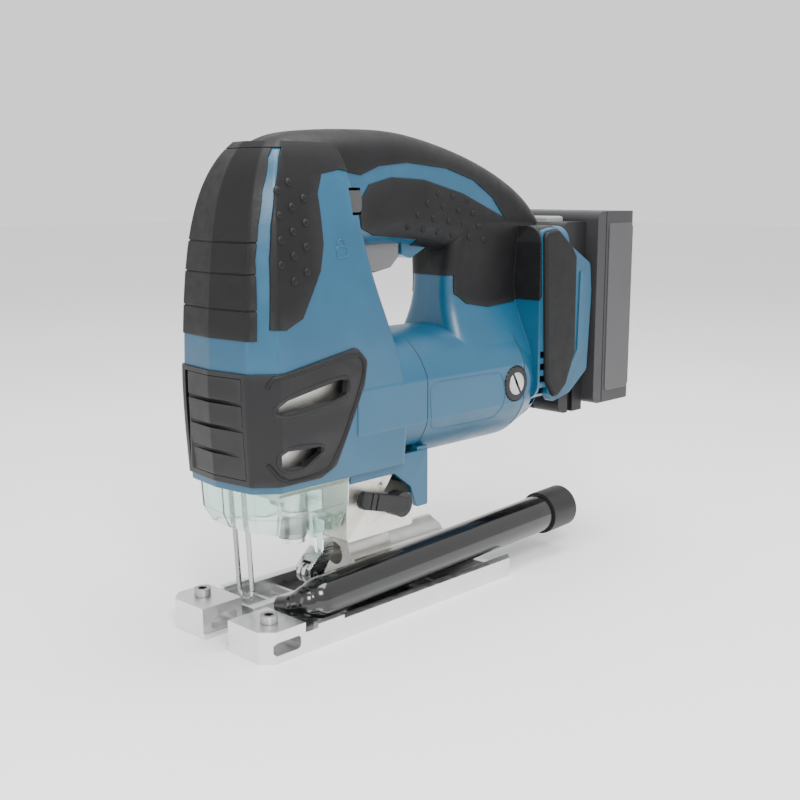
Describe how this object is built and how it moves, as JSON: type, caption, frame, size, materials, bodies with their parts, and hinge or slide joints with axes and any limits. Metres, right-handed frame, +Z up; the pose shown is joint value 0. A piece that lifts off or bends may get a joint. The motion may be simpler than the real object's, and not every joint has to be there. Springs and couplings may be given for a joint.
{
  "type": "cordless jigsaw",
  "caption": "Cordless top-handle jigsaw with geared crank and plunger, roller-backed blade clamp, tilting base, dust nozzle and slide-on battery.",
  "frame": {"origin": "on the sole, midway between the front of the base and the back of the battery, on the blade plane", "axes": "+X to the front of the saw along the cut, +Y to its left, +Z up from the sole"},
  "size_m": [0.296, 0.077, 0.2452],
  "materials": {
    "teal_plastic": "fine moulded texture",
    "black_rubber": "matt, finely grained",
    "black_plastic": "moulded",
    "grey_plastic": "satin",
    "light_plastic": "satin",
    "battery_grey": "satin",
    "gloss_black": "glossy",
    "clear_plastic": "clear",
    "cast_aluminium": "cast, satin",
    "base_aluminium": "cast, satin",
    "steel": "ground",
    "dark_steel": "blackened",
    "zinc_steel": "zinc plated",
    "bronze": "sintered",
    "copper": "bare",
    "carbon": "carbon",
    "cell_wrap": "shrink sleeve",
    "board_green": "lacquered board"
  },
  "bodies": {
    "frame": {"casing_left": "teal_plastic", "casing_right": "teal_plastic", "grip_rubber_left": "black_rubber", "grip_rubber_right": "black_rubber", "nose_rubber": "black_rubber", "rear_pads": "black_rubber", "front_bumper": "black_plastic", "opener_pin": "steel", "casing_screws": "dark_steel", "gear_housing": "cast_aluminium", "gear_housing_cover": "cast_aluminium", "wire_guard": "zinc_steel", "crank_stud": "steel", "plunger_bushes": "bronze", "holder_pin": "steel", "motor_can": "zinc_steel", "motor_magnets": "dark_steel", "bearing_front": "steel", "bearing_rear": "steel", "carbon_brushes": "carbon", "brush_holders": "bronze", "brush_caps": "black_plastic", "switch_body": "black_plastic", "control_board": "board_green", "terminal_block": "black_plastic", "trigger_spring": "steel"},
    "opener": {"blade_opener": "black_plastic"},
    "cover": {"clear_cover": "clear_plastic"},
    "lever": {"orbit_lever": "black_plastic"},
    "crank": {"crank_gear": "steel", "crank_pin": "steel", "crank_weight": "dark_steel"},
    "armature": {"armature_shaft": "steel", "armature_core": "dark_steel", "commutator": "copper", "cooling_fan": "black_plastic", "motor_pinion": "steel"},
    "plunger_set": {"plunger": "steel", "drive_yoke": "steel", "blade_clamp": "steel"},
    "sleeve": {"clamp_sleeve": "dark_steel"},
    "holder": {"roller_holder": "zinc_steel", "roller_pin": "steel"},
    "roller": {"guide_roller": "steel"},
    "trigger_lever": {"trigger": "grey_plastic"},
    "lock": {"lock_button": "grey_plastic"},
    "saddle": {"bevel_saddle": "cast_aluminium", "base_bolt": "dark_steel", "barrel_nut": "steel"},
    "base": {"base_plate": "base_aluminium", "base_screws": "dark_steel", "base_inserts": "black_plastic"},
    "nozzle": {"dust_nozzle": "gloss_black", "nozzle_collar": "black_plastic"},
    "battery": {"battery_shell": "battery_grey", "battery_nose": "black_plastic", "battery_cells": "cell_wrap", "cell_straps": "zinc_steel"},
    "pack_button": {"battery_button": "light_plastic"}
  },
  "joints": [
    {"name": "base_tilt", "type": "hinge", "parent": "frame", "child": "saddle", "pos_m": [0.053, 0, 0.028], "axis": [1, 0, 0], "range_deg": [-45, 0]},
    {"name": "base_slide", "type": "slide", "parent": "saddle", "child": "base", "axis": [1, 0, 0], "range_m": [-0.02, 0]},
    {"name": "nozzle_slide", "type": "slide", "parent": "base", "child": "nozzle", "axis": [-1, 0, 0], "range_m": [0, 0.015]},
    {"name": "battery_slide", "type": "slide", "parent": "frame", "child": "battery", "axis": [0, 0, 1], "range_m": [0, 0.105]},
    {"name": "battery_button_press", "type": "slide", "parent": "battery", "child": "pack_button", "axis": [0, 0, -1], "range_m": [0, 0.004], "stiffness_N_per_m": 500, "springref_m": -0.002},
    {"name": "opener_hinge", "type": "hinge", "parent": "frame", "child": "opener", "pos_m": [0.1424, -0.0187, 0.108], "axis": [0, 0, -1], "range_deg": [0, 55]},
    {"name": "cover_slide", "type": "slide", "parent": "frame", "child": "cover", "axis": [0, 0, 1], "range_m": [0, 0.01]},
    {"name": "lever_turn", "type": "hinge", "parent": "frame", "child": "lever", "pos_m": [0.052, 0, 0.057], "axis": [0, 1, 0], "range_deg": [0, 60]},
    {"name": "crank_spin", "type": "hinge", "parent": "frame", "child": "crank", "pos_m": [0.074, 0, 0.1342], "axis": [1, 0, 0], "continuous": true},
    {"name": "armature_spin", "type": "hinge", "parent": "frame", "child": "armature", "pos_m": [0, 0, 0.109], "axis": [1, 0, 0], "continuous": true},
    {"name": "plunger_slide", "type": "slide", "parent": "frame", "child": "plunger_set", "axis": [0, 0, 1], "range_m": [-0.013, 0.013]},
    {"name": "sleeve_turn", "type": "hinge", "parent": "plunger_set", "child": "sleeve", "pos_m": [0.098, 0, 0.05], "axis": [0, 0, 1], "range_deg": [0, 60], "stiffness_Nm_per_rad": 0.02, "springref_deg": -5.73},
    {"name": "holder_swing", "type": "hinge", "parent": "frame", "child": "holder", "pos_m": [0.08, 0, 0.064], "axis": [0, -1, 0], "range_deg": [0, 4]},
    {"name": "roller_spin", "type": "hinge", "parent": "holder", "child": "roller", "pos_m": [0.0885, 0, 0.022], "axis": [0, 1, 0], "continuous": true},
    {"name": "trigger_press", "type": "slide", "parent": "frame", "child": "trigger_lever", "axis": [0, 0, 1], "range_m": [0, 0.006], "stiffness_N_per_m": 900, "springref_m": -0.003, "deforming": ["trigger_spring"]},
    {"name": "lock_press", "type": "slide", "parent": "frame", "child": "lock", "axis": [0, -1, 0], "range_m": [0, 0.004]}
  ],
  "couplings": [
    {"joint": "armature_spin", "follows": "crank_spin", "ratio": -5}
  ]
}
